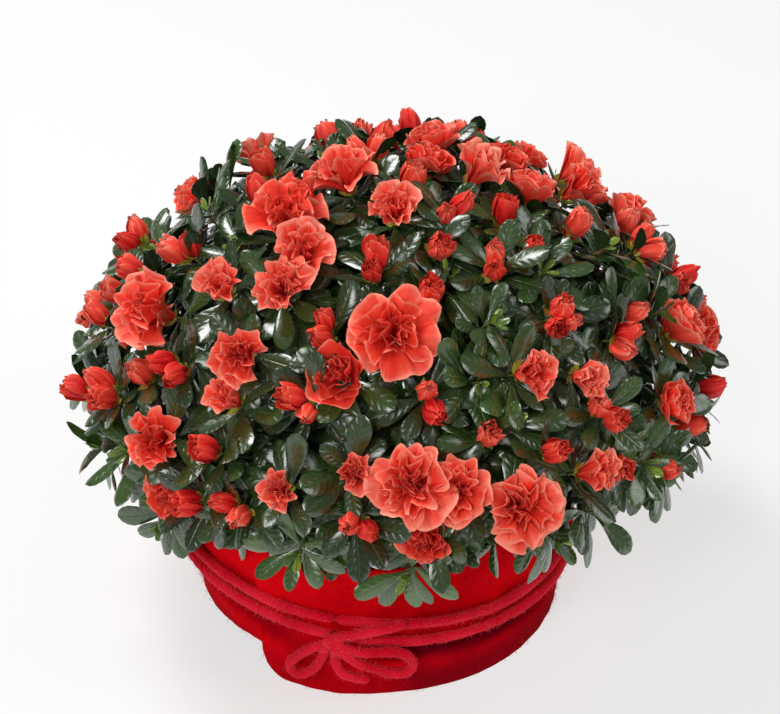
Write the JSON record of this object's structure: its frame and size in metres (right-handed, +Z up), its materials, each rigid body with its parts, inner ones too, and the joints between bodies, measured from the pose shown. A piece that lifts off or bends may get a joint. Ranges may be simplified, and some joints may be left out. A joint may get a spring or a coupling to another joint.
{
  "type": "potted azalea shrub",
  "caption": "Low domed flowering shrub with glossy leaves, buds and double blooms, in a round pot wrapped in felt tied with a wool cord.",
  "frame": {"origin": "centre of the pot's flat underside, which stands on the ground", "axes": "+Z up along the pot's axis; -Y towards the front, where the bow is; +X to the right as seen from the front"},
  "size_m": [0.3584, 0.3386, 0.2716],
  "materials": {
    "pot_plastic": "moulded nursery pot, dull brown",
    "peat": "damp dark peat, coarse and matt",
    "felt": "thick red wool felt, matt with a fine nap",
    "cord": "red fulled wool cord, matt and fuzzy",
    "bark": "thin grey-brown bark, slightly flaking",
    "foliage": "small glossy dark green leaves with coral red buds and blooms",
    "petal": "soft coral red petals, deeper red in the throat",
    "scale": "yellow-green bud scales and fresh shoots"
  },
  "bodies": {
    "root": {"pot": "pot_plastic", "peat": "peat", "felt_wrap": "felt", "bow_knot": "cord", "tie_turn_upper": "cord", "tie_turn_lower": "cord", "bow_loop_left": "cord", "bow_loop_right": "cord", "bow_tail_upper": "cord", "bow_tail_lower": "cord", "trunk": "bark", "bough_lower_1": "bark", "foliage_lower_1": "foliage", "bough_lower_2": "bark", "foliage_lower_2": "foliage", "bough_lower_3": "bark", "foliage_lower_3": "foliage", "bough_lower_4": "bark", "foliage_lower_4": "foliage", "bough_lower_5": "bark", "foliage_lower_5": "foliage", "bough_lower_6": "bark", "foliage_lower_6": "foliage", "bough_lower_7": "bark", "foliage_lower_7": "foliage", "bough_lower_8": "bark", "foliage_lower_8": "foliage", "bough_upper_1": "bark", "foliage_upper_1": "foliage", "bough_upper_2": "bark", "foliage_upper_2": "foliage", "bough_upper_3": "bark", "foliage_upper_3": "foliage", "bough_upper_4": "bark", "foliage_upper_4": "foliage", "bough_upper_5": "bark", "foliage_upper_5": "foliage", "foliage_top": "foliage"}
  },
  "joints": []
}
